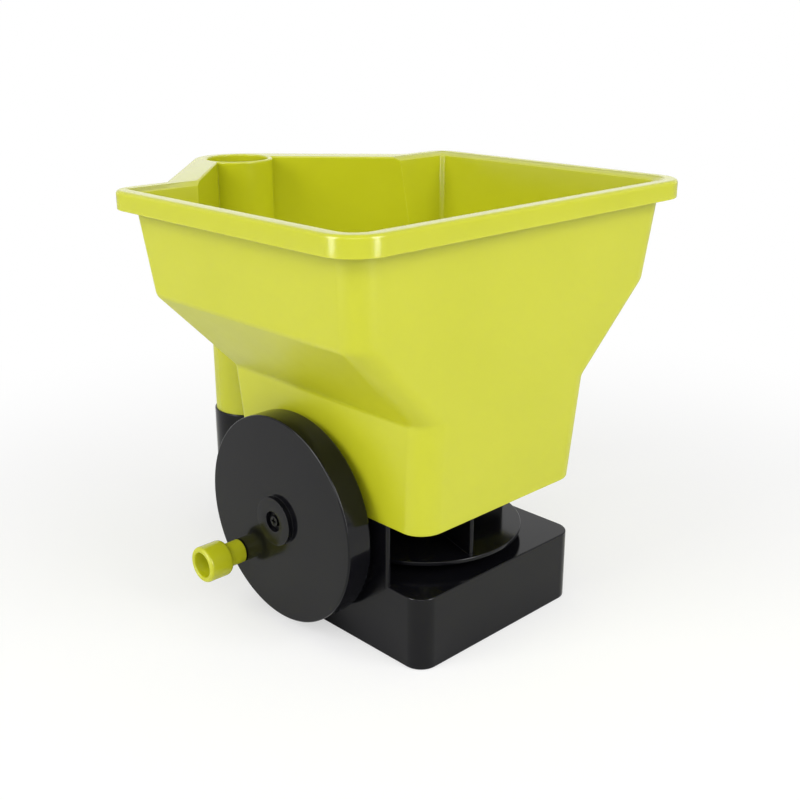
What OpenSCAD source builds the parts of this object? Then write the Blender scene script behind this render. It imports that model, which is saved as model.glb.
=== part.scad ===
/* [Hopper] */
// Width across the rim
rim_w = 208; // [196:1:220]
// Depth of the rim without the nose
rim_d = 158.6; // [150:0.2:170]
// Distance from the spinner axis to the front of the rim
rim_front = 67.6; // [64:0.2:72]
// Height of the rim above the floor
rim_top = 200; // [190:1:212]
// Height of the rim's turned-down edge
lip_h = 8.4; // [6:0.2:12]
// Overhang of the rim past the walls
rim_overhang = 6.8; // [5.6:0.1:9]
// Radius of the rim's front corners
rim_corner = 16.5; // [14:0.5:22]
// Radius of the rim's rear corners
rim_rear_corner = 11; // [9:0.5:16]
// Rounding of the rim's outer edge
rim_round = 1.6; // [1:0.1:2.2]
// Width of the slope from the rim down to the walls
rim_slope_w = 3.2; // [2:0.1:3.8]
// Depth of the slope from the rim down to the walls
rim_slope_h = 1.8; // [1:0.1:3]
// Thickness of the hopper's walls
wall = 2.4; // [1.8:0.1:3]
// Width of the neck at its bottom
neck_w = 104.4; // [100:0.2:110]
// Distance from the spinner axis to the neck's front wall
neck_front = 49.8; // [48.6:0.2:56]
// Distance from the spinner axis to the neck's rear wall
neck_rear = 70.3; // [67:0.1:75]
// Height of the neck's bottom edge above the floor
neck_low = 63.8; // [62:0.2:70]
// Height of the lower fold in the side walls
fold_low = 114.2; // [110:0.2:120]
// Height of the upper fold in the side walls
fold_high = 154.4; // [145:0.2:165]
// Widening of each neck side up to the lower fold
neck_flare = 2.1; // [0.5:0.1:2.4]
// Widening of each upper side from the upper fold to the rim
wall_flare = 4; // [2:0.2:8]
// Radius of the neck's front corners
neck_corner = 9.6; // [6:0.2:14]
// Radius of the neck's rear corners
neck_rear_corner = 3.2; // [3:0.1:6]
// Radius of the front corners under the rim
wall_corner = 12.5; // [9:0.5:16]
// Radius of the rear corners under the rim
wall_rear_corner = 6; // [4:0.2:9]
// Length of the rounding on each side of a fold
fold_soft = 1.6; // [1:0.1:5]
// Depth of the skirt under the hopper's floor
skirt_h = 8; // [7.4:0.2:10]

/* [Grip] */
// Outer diameter of the grip tube
grip_d = 36.2; // [32:0.2:40]
// Wall of the grip tube
grip_wall = 2.4; // [1.8:0.1:3.2]
// Distance from the spinner axis to the grip tube's axis
grip_y = 138.2; // [130:0.2:146]
// Angle of the nose's sides to the fore-and-aft line
nose_angle = 42.5; // [38:0.5:47]
// How far the nose's edge stands outside the tube
nose_margin = 4.6; // [3.6:0.1:5.6]
// Width of the rim's flat strip along the nose
nose_strip = 14.3; // [12:0.1:17]
// Height of the nose's floor where it leaves the rear wall
nose_low = 140; // [134:1:146]
// Slope of the nose's floor
nose_slope = 24; // [18:1:32]

/* [Base] */
// Height of the front block
block_h = 34.7; // [33:0.1:36.4]
// Thickness of the base's walls
base_wall = 2.8; // [2.2:0.1:3.4]
// Corner radius of the base
base_corner = 8.8; // [7:0.2:12]
// How far the wall on the crank side reaches in front of the spinner axis
wing_crank = 29.1; // [20:0.1:36]
// How far the wall on the other side reaches in front of the spinner axis
wing_far = 4.2; // [0:0.1:20]
// Height of the arm that carries the grip socket
arm_h = 30; // [26:0.5:34]
// Angle of the arm's sides to the fore-and-aft line
arm_angle = 14; // [8:1:18]
// Wall of the grip socket
socket_wall = 1.8; // [1.6:0.1:2.4]
// Step from the grip tube in to its spigot
spigot_step = 1; // [0.6:0.1:1.6]
// Height of the socket's top
socket_top = 64.3; // [60:0.1:70]
// Depth of the spigot in the socket
spigot_len = 36; // [30:1:38]
// Thickness of the bottom cover
cover_t = 3; // [2.6:0.1:3.4]

/* [Crank] */
// Diameter of the crank wheel
wheel_d = 97.6; // [94:0.2:99]
// Thickness of the crank wheel
wheel_t = 15.5; // [14.5:0.1:18]
// Distance from the spinner axis back to the wheel's axis
wheel_y = 24; // [22:0.1:25]
// Gap between the base and the crank wheel
wheel_gap = 2.6; // [2.4:0.1:4]
// Thickness of the wheel's face and rim
wheel_wall = 2.3; // [2:0.1:2.8]
// Rounding of the wheel's front edge
wheel_round = 1.2; // [0.6:0.1:1.8]
// Diameter of the raised boss on the wheel
boss_d = 22.7; // [20:0.1:26]
// Height of the raised boss on the wheel
boss_h = 2.6; // [2.4:0.1:4]
// Diameter of the screw recess in the boss
recess_d = 9.8; // [9.2:0.1:12]
// Diameter of the wheel's axle
axle_d = 6; // [5:0.1:6.6]
// From the wheel's edge in to the knob's axis
knob_margin = 9; // [8.5:0.1:14]
// Direction of the knob in the rest position
knob_turn = -41; // [-180:1:180]
// Diameter of the knob's head
knob_d = 17.2; // [16:0.1:19]
// Length of the knob's head
knob_head = 13; // [11:0.2:16]
// Diameter of the knob's neck
knob_neck_d = 11.4; // [10:0.1:11.5]
// Length of the knob's neck
knob_neck = 9; // [7:0.2:12]
// Diameter of the hollow in the knob's end
knob_cup_d = 12; // [9.4:0.1:12.4]
// Diameter of the knob's screw
knob_pin_d = 4.6; // [3.6:0.1:5]

/* [Drive] */
// Teeth inside the wheel
ring_teeth = 72; // [64:4:80]
// Teeth on the pinion
pinion_teeth = 10; // [10:1:12]
// Pressure angle of the teeth
pressure_angle = 25; // [24:1:27]
// Teeth on each bevel gear
bevel_teeth = 15; // [15:5:20]
// Pitch diameter of the bevel gears
bevel_d = 12; // [11:0.2:12.6]
// Play between meshing flanks
backlash = 0.3; // [0.2:0.02:0.4]
// Diameter of the drive shafts
shaft_d = 5; // [4.4:0.1:5.2]
// Wall of the bearing bushes
bush_wall = 1.9; // [1.5:0.1:2.2]

/* [Spinner] */
// Gap from the disc's edge to the wall round it
disc_clear = 3.2; // [2:0.1:6]
// Thickness of the spinner disc
disc_t = 2; // [1.6:0.1:2.6]
// Gap between the front block and the disc
disc_gap = 4.3; // [3.6:0.1:5]
// Height of the vanes above the disc
vane_h = 18.4; // [14:0.2:19]
// Thickness of a vane
vane_t = 2; // [1.6:0.1:2.6]
// Number of vanes
vane_count = 4; // [3:1:6]
// Direction of the first vane in the rest position
vane_turn = -106.6; // [-180:0.2:180]
// Diameter of the disc's hub
hub_d = 18; // [14:0.5:22]
// Reach of the agitator's fingers
agitator_reach = 27; // [20:0.5:30]

/* [Metering] */
// Width of the outlet in the hopper's floor
outlet_w = 26; // [20:0.5:28]
// Length of the outlet in the hopper's floor
outlet_len = 17; // [12:0.5:18]
// Thickness of the flow gate
gate_t = 2; // [1.6:0.1:2.4]
// Overlap of the gate past the outlet on each side
gate_overlap = 4; // [3:0.5:5]
// Length of the gate's finger tab
tab_len = 20; // [16:0.5:24]

/* [Fits] */
// Radial clearance of a running fit
run_fit = 0.05; // [0.03:0.01:0.08]
// Clearance of pieces that are pressed or screwed together
seat_fit = 0.03; // [0.02:0.01:0.05]
// Clearance between pieces that slide or pass by
pass_gap = 0.3; // [0.2:0.05:0.4]
// Diameter of the small screws
screw_d = 3; // [2.6:0.1:3.2]

/* [Hidden] */
$fn = 64;

lime = [0.74, 0.78, 0.13];
black = [0.07, 0.07, 0.075];
nylon = [0.86, 0.85, 0.80];
steel = [0.66, 0.67, 0.69];

// Cuts run this far past the solid that they cut
past = 1;
// Larger than the whole object
far = 600;
corner_steps = 6;
fold_steps = 4;
edge_steps = 4;
least_corner = 0.5;

// Heights of the hopper's floor
floor_low = neck_low + skirt_h;
floor_top = floor_low + wall;
rim_rear = rim_d - rim_front;

// Side profile of the hopper: height and half width
side_corners = [
    [neck_low, neck_w / 2],
    [fold_low, neck_w / 2 + neck_flare],
    [fold_high, rim_w / 2 - rim_overhang - wall_flare],
    [rim_top, rim_w / 2 - rim_overhang]
];

// Grip and nose
grip_r = grip_d / 2;
spigot_r = grip_r - spigot_step;
socket_bore_r = spigot_r + pass_gap / 2;
socket_r = socket_bore_r + socket_wall;
spigot_floor = 7;
spigot_low = socket_top - spigot_len;
socket_low = spigot_low - base_wall;
nose_edge = grip_r + nose_margin;

// Base
base_half = neck_w / 2;
chamber_r = base_half - base_wall;
plate_low = block_h - base_wall;

// Screws
screw_r = screw_d / 2;
pilot_r = screw_r + seat_fit;
head_r = screw_d * 0.93;
head_h = screw_d * 0.57;
post_r = screw_d * 1.4;

// Shafts and bushes
shaft_r = shaft_d / 2;
bush_bore_r = shaft_r + run_fit;
bush_r = bush_bore_r + bush_wall;
flange_step = 2;
flange_r = bush_r + flange_step;
flange_t = 1.2;
fixed_bore_r = shaft_r + seat_fit;
pin_r = 1.1;

// Gears: the ring's roots leave the wheel its rim, and the shaft lies under the front block's top
tooth_add = 0.8;
tooth_ded = 1.04;
ring_root_r = wheel_d / 2 - wheel_wall;
gear_module = ring_root_r / (ring_teeth / 2 + tooth_ded);
mesh_c = gear_module * (ring_teeth - pinion_teeth) / 2;
bevel_r = bevel_d / 2;
bevel_module = bevel_d / bevel_teeth;
bevel_add = 0.52;
bevel_ded = 0.84;
bevel_small = 0.5;
bevel_hub_r = bevel_r - 1.1;
bevel_gap = 1.2;
lay_z = plate_low - bevel_gap - bevel_r - bevel_add * bevel_module;
wheel_z = lay_z + sqrt(mesh_c * mesh_c - wheel_y * wheel_y);
mesh_turn = atan2(lay_z - wheel_z, -wheel_y);

// Places along the crank's axis, which runs to -X
wheel_back = -base_half - wheel_gap;
wheel_front = wheel_back - wheel_t;
face_back = wheel_front + wheel_wall;
boss_front = wheel_front - boss_h;
nut_t = 1.8;
pinion_front = face_back + nut_t + 2 * pass_gap;
pinion_back = -base_half - flange_t - pass_gap;
web_out = -20;
web_in = -15;
lay_in = -bevel_r * bevel_small - 0.4;
lay_boss = 8;

// Axle of the wheel
hub_wall = 4;
shank_step = 1;
axle_r = axle_d / 2;
hub_bore_r = axle_r + run_fit;
hub_tube_r = hub_bore_r + hub_wall;
collar_r = axle_r + hub_wall;
collar_t = wheel_gap - pass_gap;
shank_r = axle_r + shank_step;
shank_len = 7;
washer_t = 0.8;
washer_r = recess_d / 2 - pass_gap;
recess_in = 0.6;
recess_floor = wheel_front + recess_in;
axle_end = recess_floor - pass_gap / 2;
axle_boss_r = shank_r + hub_wall;
rear_hollow_y = wheel_y + axle_boss_r;

// Knob
knob_reach = wheel_d / 2 - knob_margin;
knob_y = wheel_y + knob_reach * cos(knob_turn);
knob_z = wheel_z + knob_reach * sin(knob_turn);
knob_foot = wheel_front - pass_gap;
knob_step = knob_foot - knob_neck;
knob_end = knob_step - knob_head;
knob_cup = 7.5;
knob_shoulder = 2.2;
knob_edge = 1.2;
cup_edge = 0.6;
cup_draft = 0.4;
knob_seat = knob_end + knob_cup;
knob_pin_r = knob_pin_d / 2;
knob_bore_r = knob_pin_r + run_fit;
nut_wall = 1.2;
nut_r = knob_pin_r + nut_wall;

// Spinner
disc_low = block_h + disc_gap;
disc_top = disc_low + disc_t;
vane_top = disc_top + vane_h;
hub_low = block_h + flange_t + pass_gap;
hub_proud = 0.8;
hub_top = vane_top + hub_proud;
disc_r = chamber_r - disc_clear;
hub_r = hub_d / 2;
bush_floor = 1;
lower_bush_len = 5;
lower_bush_low = cover_t + seat_fit;
lower_bush_top = lower_bush_low + lower_bush_len;
shaft_low = lower_bush_low + bush_floor + pass_gap / 2;
agitator_low = floor_top + flange_t + pass_gap;
agitator_h = 10;
shaft_top = agitator_low + agitator_h;
agitator_r = 5.5;
finger_r = 1.8;
finger_tilt = 14;

// Metering
gate_w = outlet_w + 2 * gate_overlap;
gate_lead = 2;
gate_front = flange_r + 1;
outlet_front = gate_front + gate_lead;
gate_top = floor_low - pass_gap;
gate_low = gate_top - gate_t;
guide_t = 2.2;
guide_rim = 2.4;
guide_low = gate_low - pass_gap - guide_t;
guide_w = gate_w + 2 * (2 * head_r + guide_rim);
guide_rear = 52;
guide_screw_x = (gate_w + guide_w) / 4 + pass_gap / 2;
guide_screw_front = 31;
guide_screw_step = 15;
guide_screw_y = [guide_screw_front, guide_screw_front + guide_screw_step];
guide_boss_h = 4;
tab_root = 3;
tab_start = neck_rear + tab_root;
tab_end = neck_rear + tab_len;
tab_step = 4;
tab_w = gate_w - 2 * tab_step;
tab_lip = 5;

// Screws that hold the cover, and screws up into the hopper
post_in = 9;
post_rear = 36;
arm_post_shift = 4;
fixing_in = 12;
fixing_x = 28;
fixing_rear = 9;
cover_posts = [
    [base_half - post_in, post_in - neck_front], [post_in - base_half, post_in - neck_front],
    [base_half - post_in, neck_rear - post_rear], [post_in - base_half, neck_rear - post_rear],
    [0, (neck_rear + grip_y - socket_r) / 2 + arm_post_shift]
];
hopper_fixings = [
    [base_half - fixing_in, neck_rear - fixing_in], [fixing_in - base_half, neck_rear - fixing_in],
    [fixing_x, neck_rear - fixing_rear], [-fixing_x, neck_rear - fixing_rear]
];

function lerp(a, b, t) = a + (b - a) * t;
function rise(z) = (z - neck_low) / (rim_top - neck_low);
function front_at(z) = lerp(neck_front, rim_front - rim_overhang, rise(z));
function rear_at(z) = lerp(neck_rear, rim_rear - rim_overhang, rise(z));
function front_corner_at(z) = lerp(neck_corner, wall_corner, rise(z));
function rear_corner_at(z) = lerp(neck_rear_corner, wall_rear_corner, rise(z));
function toward(p, q, d) = p + (q - p) * d / norm(q - p);
function bend(p, c, q) = [
    for (i = [0 : fold_steps])
        let (t = i / fold_steps) (1 - t) * (1 - t) * p + 2 * t * (1 - t) * c + t * t * q
];

// Profile with its two folds rounded
function soft_profile(p) = concat(
    [p[0]],
    bend(toward(p[1], p[0], fold_soft), p[1], toward(p[1], p[2], fold_soft)),
    bend(toward(p[2], p[1], fold_soft), p[2], toward(p[2], p[3], fold_soft)),
    [p[3]]
);

// Inward normal of a profile stretch, in height and half width
function inward(p, q) = [q[1] - p[1], p[0] - q[0]] / norm(q - p);
function mitre(n, m) = (n + m) / (1 + n * m);
side_normals = [for (i = [0 : 2]) inward(side_corners[i], side_corners[i + 1])];
function inner_corners(t) = [
    side_corners[0] + t * side_normals[0],
    side_corners[1] + t * mitre(side_normals[0], side_normals[1]),
    side_corners[2] + t * mitre(side_normals[1], side_normals[2]),
    side_corners[3] + t * side_normals[2]
];
outer_profile = soft_profile(side_corners);
inner_profile = soft_profile(inner_corners(wall));

function arc(x, y, r, from, to, steps, z) = [
    for (i = [0 : steps]) let (a = lerp(from, to, i / steps)) [x + r * cos(a), y + r * sin(a), z]
];

// Level outline of the hopper: a rectangle with round corners
function outline(z, half, front, rear, front_r, rear_r) = concat(
    arc(half - rear_r, rear - rear_r, rear_r, 0, 90, corner_steps, z),
    arc(rear_r - half, rear - rear_r, rear_r, 90, 180, corner_steps, z),
    arc(front_r - half, front_r - front, front_r, 180, 270, corner_steps, z),
    arc(half - front_r, front_r - front, front_r, 270, 360, corner_steps, z)
);
function outer_ring(z) = outline(
    z, lookup(z, outer_profile), front_at(z), rear_at(z), front_corner_at(z), rear_corner_at(z)
);
function inner_ring(z, grow = 0) = let (t = wall - grow) outline(
    z, lookup(z, inner_profile) + grow, front_at(z) - t, rear_at(z) - t,
    front_corner_at(z) - t, rear_corner_at(z) - t
);

// Level outline of the rim and its nose, moved in by an inset
function rim_ring(inset, z) =
    let (
        reach = nose_edge - inset,
        rear = rim_rear - inset,
        root = (reach + sin(nose_angle) * (grip_y - rear)) / cos(nose_angle),
        front_x = rim_w / 2 - rim_corner,
        front_y = rim_corner - rim_front,
        rear_x = rim_w / 2 - rim_rear_corner,
        rear_y = rim_rear - rim_rear_corner,
        rear_r = max(rim_rear_corner - inset, least_corner)
    )
    concat(
        arc(front_x, front_y, rim_corner - inset, 270, 360, corner_steps, z),
        arc(rear_x, rear_y, rear_r, 0, 90, corner_steps, z),
        [[root, rear, z]],
        arc(0, grip_y, reach, nose_angle, 180 - nose_angle, 2 * corner_steps, z),
        [[-root, rear, z]],
        arc(-rear_x, rear_y, rear_r, 90, 180, corner_steps, z),
        arc(-front_x, front_y, rim_corner - inset, 180, 270, corner_steps, z)
    );

module loft(rings) {
    n = len(rings[0]);
    last = len(rings) - 1;
    sides = [
        for (j = [0 : last - 1], i = [0 : n - 1])
            let (a = j * n + i, b = j * n + (i + 1) % n)
                each [[a, a + n, b + n], [a, b + n, b]]
    ];
    bottom = [[for (i = [0 : n - 1]) i]];
    top = [[for (i = [n - 1 : -1 : 0]) last * n + i]];
    polyhedron(points = [for (ring = rings) each ring], faces = concat(sides, bottom, top));
}

// Endless band: the rings in turn go round its section
module band(rings) {
    n = len(rings[0]);
    m = len(rings);
    polyhedron(points = [for (ring = rings) each ring], faces = [
        for (j = [0 : m - 1], i = [0 : n - 1])
            let (a = j * n + i, b = j * n + (i + 1) % n, up = (j + 1) % m * n)
                each [[a, up + i, up + (i + 1) % n], [a, up + (i + 1) % n, b]]
    ]);
}

module rounded_rect(w, d, r) {
    square([w - 2 * r, d], center = true);
    square([w, d - 2 * r], center = true);
    for (x = [-1, 1], y = [-1, 1])
        translate([x * (w / 2 - r), y * (d / 2 - r)]) circle(r = r);
}

// Outline that narrows to a round end: two sides at an angle, tangent to a circle
module horn_outline(tip_y, reach, angle, root_y) {
    run = tip_y - root_y + reach * sin(angle);
    tip_x = reach * cos(angle);
    root_x = tip_x + run * tan(angle);
    translate([0, tip_y]) circle(r = reach);
    polygon([
        [root_x, root_y], [tip_x, tip_y + reach * sin(angle)],
        [-tip_x, tip_y + reach * sin(angle)], [-root_x, root_y]
    ]);
}

// Turns a level shape so that its height runs along +X
module along_x() {
    rotate([90, 0, 90]) children();
}

module rod_x(x1, x2, r, y, z) {
    translate([min(x1, x2), y, z]) rotate([0, 90, 0]) cylinder(r = r, h = abs(x2 - x1));
}

module rod_z(z1, z2, r, at = [0, 0]) {
    translate([at[0], at[1], z1]) cylinder(r = r, h = z2 - z1);
}

// Pan-head screw pointing up, with its head's seat at z = 0
module screw_up(length, r = screw_r) {
    cylinder(r = r, h = length);
    difference() {
        translate([0, 0, -head_h]) cylinder(r1 = head_r * 0.86, r2 = head_r, h = head_h);
        for (a = [0, 90])
            rotate(a) translate([0, 0, -head_h])
                cube([head_r * 1.1, head_r * 0.3, head_h], center = true);
    }
}

// Involute of the base circle as an angle
function involute(a) = tan(a) * 180 / PI - a;
function flank(r, pitch_r, half) =
    let (base_r = pitch_r * cos(pressure_angle))
        half + involute(pressure_angle) - involute(acos(min(1, base_r / r)));

// Toothed outline with its first tooth on the +X axis
module gear_outline(teeth, m, add, ded, play, steps) {
    pitch_r = m * teeth / 2;
    tip_r = pitch_r + add * m;
    root_r = pitch_r - ded * m;
    low_r = max(root_r, pitch_r * cos(pressure_angle));
    half = 90 / teeth - play / (2 * pitch_r) * 90 / PI;
    flank_r = [for (i = [0 : steps]) lerp(low_r, tip_r, i / steps)];
    up = concat([[root_r, flank(low_r, pitch_r, half)]], [for (r = flank_r) [r, flank(r, pitch_r, half)]]);
    tooth = concat([for (q = up) [q[0], -q[1]]], [for (i = [len(up) - 1 : -1 : 0]) up[i]]);
    polygon([
        for (t = [0 : teeth - 1], q = tooth)
            let (a = t * 360 / teeth + q[1]) q[0] * [cos(a), sin(a)]
    ]);
}

module bevel_teeth_cone() {
    linear_extrude(height = bevel_r * (1 - bevel_small), scale = bevel_small)
        gear_outline(bevel_teeth, bevel_module, bevel_add, bevel_ded, backlash, 2);
}

// Rounded outer edge of the rim, from the side to the top
function rim_edge() = [
    for (i = [0 : edge_steps]) let (a = 90 * i / edge_steps)
        rim_ring(rim_round * (1 - cos(a)), rim_top - rim_round * (1 - sin(a)))
];

// Rim folded down into a lip: flat on top, wide enough to meet the walls and the nose
module rim_band() {
    band(concat(
        [rim_ring(0, rim_top - lip_h)],
        rim_edge(),
        [rim_ring(nose_strip - wall / 2, rim_top), rim_ring(nose_strip - wall / 2, rim_top - wall)],
        [rim_ring(wall, rim_top - wall), rim_ring(wall, rim_top - lip_h)]
    ));
}

module nose_outline(reach) {
    horn_outline(grip_y, reach, nose_angle, rear_at(nose_low) - wall - 4);
}

// Everything above the nose's sloping floor, raised by a thickness
module above_nose_floor(lift) {
    translate([0, rear_at(nose_low), nose_low + lift / cos(nose_slope)])
        rotate([nose_slope, 0, 0])
            translate([-far / 2, -far / 2, 0]) cube(far);
}

module nose_block(reach, lift) {
    intersection() {
        translate([0, 0, nose_low - far / 4])
            linear_extrude(rim_top - nose_low + far / 4) nose_outline(reach);
        above_nose_floor(lift);
    }
}

module hopper_walls() {
    loft([for (p = outer_profile) outer_ring(p[0])]);
    nose_block(nose_edge - nose_strip + wall, 0);
    rim_band();
}

module hopper_inside() {
    slope_low = rim_top - rim_slope_h;
    bends = [for (p = inner_profile) if (p[0] > floor_top + past && p[0] < slope_low) p[0]];
    loft(concat(
        [for (z = concat([floor_top], bends, [slope_low])) inner_ring(z)],
        [inner_ring(rim_top + past, rim_slope_w * (1 + past / rim_slope_h))]
    ));
    loft([inner_ring(neck_low - past), inner_ring(floor_low)]);
    intersection() {
        translate([0, 0, past]) nose_block(nose_edge - nose_strip, wall);
        above_nose_floor(wall);
    }
}

module hopper() color(lime) difference() {
    union() {
        difference() {
            hopper_walls();
            hopper_inside();
        }
        rod_z(socket_top, rim_top, grip_r, [0, grip_y]);
        rod_z(spigot_low, socket_top, spigot_r, [0, grip_y]);
        for (p = hopper_fixings) rod_z(neck_low, floor_low + past, post_r, p);
        for (x = [-1, 1], y = guide_screw_y)
            rod_z(floor_low + past, floor_top + guide_boss_h, post_r - 1, [x * guide_screw_x, y]);
    }
    rod_z(socket_top + wall, rim_top + past, grip_r - grip_wall, [0, grip_y]);
    rod_z(spigot_low + spigot_floor, socket_top + 2 * wall, spigot_r - grip_wall, [0, grip_y]);
    rod_z(spigot_low - past, spigot_low + spigot_floor - wall, pilot_r, [0, grip_y]);
    for (p = hopper_fixings) rod_z(neck_low - past, floor_low, pilot_r, p);
    for (x = [-1, 1], y = guide_screw_y)
        rod_z(floor_low - past, floor_top + guide_boss_h - 1, pilot_r, [x * guide_screw_x, y]);
    rod_z(floor_low - past, floor_top + past, bush_r + seat_fit);
    translate([-outlet_w / 2, outlet_front, floor_low - past])
        cube([outlet_w, outlet_len, wall + 2 * past]);
    translate([-gate_w / 2 - pass_gap, neck_rear - 2 * wall, gate_low - pass_gap])
        cube([gate_w + 2 * pass_gap, 4 * wall, gate_t + 2 * pass_gap]);
}

module base_rect(inset) {
    translate([0, (neck_rear - neck_front) / 2])
        rounded_rect(2 * (base_half - inset), neck_front + neck_rear - 2 * inset, base_corner - inset);
}

module arm_outline(inset) {
    horn_outline(grip_y, socket_r - inset, arm_angle, neck_rear - base_corner);
}

module floor_outline(inset) {
    base_rect(inset);
    arm_outline(inset);
}

// Plan of the part of the base that rises to the hopper
module rear_plan() {
    difference() {
        intersection() {
            base_rect(0);
            polygon([
                [-far, -wing_crank], [0, -wing_crank], [0, -wing_far],
                [far, -wing_far], [far, far], [-far, far]
            ]);
        }
        circle(r = chamber_r);
        translate([-chamber_r, -far]) square([2 * chamber_r, far]);
    }
}

module rear_hollow_plan() {
    intersection() {
        difference() {
            base_rect(base_wall);
            circle(r = base_half);
        }
        translate([-far / 2, rear_hollow_y]) square(far);
    }
}

module base_shell() {
    difference() {
        union() {
            linear_extrude(block_h) base_rect(0);
            linear_extrude(arm_h) arm_outline(0);
            linear_extrude(neck_low) rear_plan();
        }
        translate([0, 0, -past]) linear_extrude(plate_low + past) base_rect(base_wall);
        translate([0, 0, -past]) linear_extrude(arm_h - base_wall + past) arm_outline(base_wall);
        translate([0, 0, plate_low - past])
            linear_extrude(neck_low - base_wall - plate_low + past) rear_hollow_plan();
    }
}

module base_housing() color(black) difference() {
    union() {
        base_shell();
        rod_z(socket_low, socket_top, socket_r, [0, grip_y]);
        for (i = [0 : len(cover_posts) - 1])
            rod_z(cover_t, (i < 4 ? block_h : arm_h) - past, post_r, cover_posts[i]);
        rod_x(-base_half, -base_half + lay_boss, bush_r + base_wall, 0, lay_z);
        translate([web_out, -bush_r - base_wall, lay_z - bush_r - base_wall])
            cube([web_in - web_out, 2 * (bush_r + base_wall), block_h - past - lay_z + bush_r + base_wall]);
    }
    rod_z(spigot_low, socket_top + past, socket_bore_r, [0, grip_y]);
    rod_z(socket_low - past, spigot_low + past, screw_r + pass_gap, [0, grip_y]);
    for (p = cover_posts) rod_z(cover_t - past, cover_t + 4 * screw_d, pilot_r, p);
    for (p = hopper_fixings) rod_z(neck_low - base_wall - past, neck_low + past, screw_r + pass_gap, p);
    rod_x(-base_half - past, -base_half + lay_boss + past, bush_r + seat_fit, 0, lay_z);
    rod_x(web_out - past, web_in + past, bush_r + seat_fit, 0, lay_z);
    rod_x(-base_half - past, -base_half + shank_len + seat_fit, shank_r + seat_fit, wheel_y, wheel_z);
    rod_z(plate_low - past, block_h + past, bush_r + seat_fit);
}

module bottom_cover() color(black) difference() {
    union() {
        linear_extrude(cover_t) floor_outline(base_wall + pass_gap);
        rod_z(0, lower_bush_top, bush_r + base_wall);
    }
    rod_z(cover_t, lower_bush_top + past, bush_r + seat_fit);
    for (p = cover_posts) {
        rod_z(-past, head_h + pass_gap / 2, head_r + pass_gap, p);
        rod_z(0, cover_t + past, screw_r + pass_gap / 2, p);
    }
}

module cover_screws() color(steel)
    for (p = cover_posts)
        translate([p[0], p[1], head_h + pass_gap / 2]) screw_up(cover_t + 3 * screw_d);

module hopper_screws() color(steel)
    for (p = hopper_fixings)
        translate([p[0], p[1], neck_low - base_wall]) screw_up(base_wall + skirt_h - 1);

module grip_screw() color(steel)
    translate([0, grip_y, socket_low]) screw_up(base_wall + spigot_floor - wall - 0.5);

module gate_guide() color(black) difference() {
    translate([-guide_w / 2, gate_front - 2, guide_low])
        cube([guide_w, guide_rear - gate_front + 2, floor_low - guide_low]);
    translate([-gate_w / 2 - pass_gap, gate_front - pass_gap, gate_low - pass_gap])
        cube([gate_w + 2 * pass_gap, far, far]);
    translate([-outlet_w / 2, outlet_front, guide_low - past])
        cube([outlet_w, outlet_len, floor_low]);
    for (x = [-1, 1], y = guide_screw_y)
        rod_z(guide_low - past, floor_low + past, screw_r + pass_gap, [x * guide_screw_x, y]);
}

module guide_screws() color(steel)
    for (x = [-1, 1], y = guide_screw_y)
        translate([x * guide_screw_x, y, guide_low]) screw_up(floor_top - guide_low + 2);

module flow_gate() color(lime) {
    translate([-gate_w / 2, gate_front, gate_low])
        cube([gate_w, tab_start - gate_front, gate_t]);
    translate([-tab_w / 2, tab_start - past, gate_low])
        cube([tab_w, tab_end - tab_start + past, gate_t]);
    translate([-tab_w / 2, tab_end - gate_t, gate_low])
        cube([tab_w, gate_t, gate_t + tab_lip]);
}

module flanged_bush(length) {
    difference() {
        union() {
            cylinder(r = bush_r, h = length);
            translate([0, 0, length]) cylinder(r = flange_r, h = flange_t);
        }
        translate([0, 0, -past]) cylinder(r = bush_bore_r, h = length + flange_t + 2 * past);
    }
}

module floor_bush() color(nylon) translate([0, 0, floor_low]) flanged_bush(wall);

module upper_bush() color(nylon) translate([0, 0, plate_low]) flanged_bush(base_wall);

module lower_bush() color(nylon) difference() {
    rod_z(lower_bush_low, lower_bush_top, bush_r);
    rod_z(lower_bush_low + bush_floor, lower_bush_top + past, bush_bore_r);
}

module layshaft_bushes() color(nylon) {
    translate([-base_half + lay_boss, 0, lay_z]) rotate([0, -90, 0]) flanged_bush(lay_boss);
    translate([web_out, 0, lay_z]) rotate([0, 90, 0]) flanged_bush(web_in - web_out);
}

module cross_pin(z, reach) {
    translate([0, 0, z]) rotate([0, 90, vane_turn + 45])
        cylinder(r = pin_r, h = 2 * reach, center = true);
}

module cross_hole(z) {
    translate([0, 0, z]) rotate([0, 90, vane_turn + 45])
        cylinder(r = pin_r + seat_fit, h = far, center = true);
}

disc_pin_z = (disc_top + vane_top) / 2;
agitator_pin_z = agitator_low + agitator_h - 3;

module spinner_shaft() color(steel) difference() {
    rod_z(shaft_low, shaft_top, shaft_r);
    cross_hole(disc_pin_z);
    cross_hole(agitator_pin_z);
}

module spinner_disc() color(black) difference() {
    union() {
        rotate_extrude() polygon(concat(
            [[0, disc_low], [disc_r - disc_t / 2, disc_low]],
            [for (i = [1 : edge_steps - 1]) let (a = -90 + 180 * i / edge_steps)
                [disc_r - disc_t / 2 + disc_t / 2 * cos(a), disc_low + disc_t / 2 + disc_t / 2 * sin(a)]],
            [[disc_r - disc_t / 2, disc_top], [0, disc_top]]
        ));
        rod_z(hub_low, hub_top, hub_r);
        for (i = [0 : vane_count - 1])
            rotate(vane_turn + i * 360 / vane_count) translate([hub_r / 2, -vane_t / 2, disc_top - disc_t / 2])
                cube([disc_r - disc_t - hub_r / 2, vane_t, vane_h + disc_t / 2]);
    }
    rod_z(hub_low - past, hub_top + past, fixed_bore_r);
    cross_hole(disc_pin_z);
}

module disc_pin() color(steel) cross_pin(disc_pin_z, hub_r - 0.4);

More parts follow.
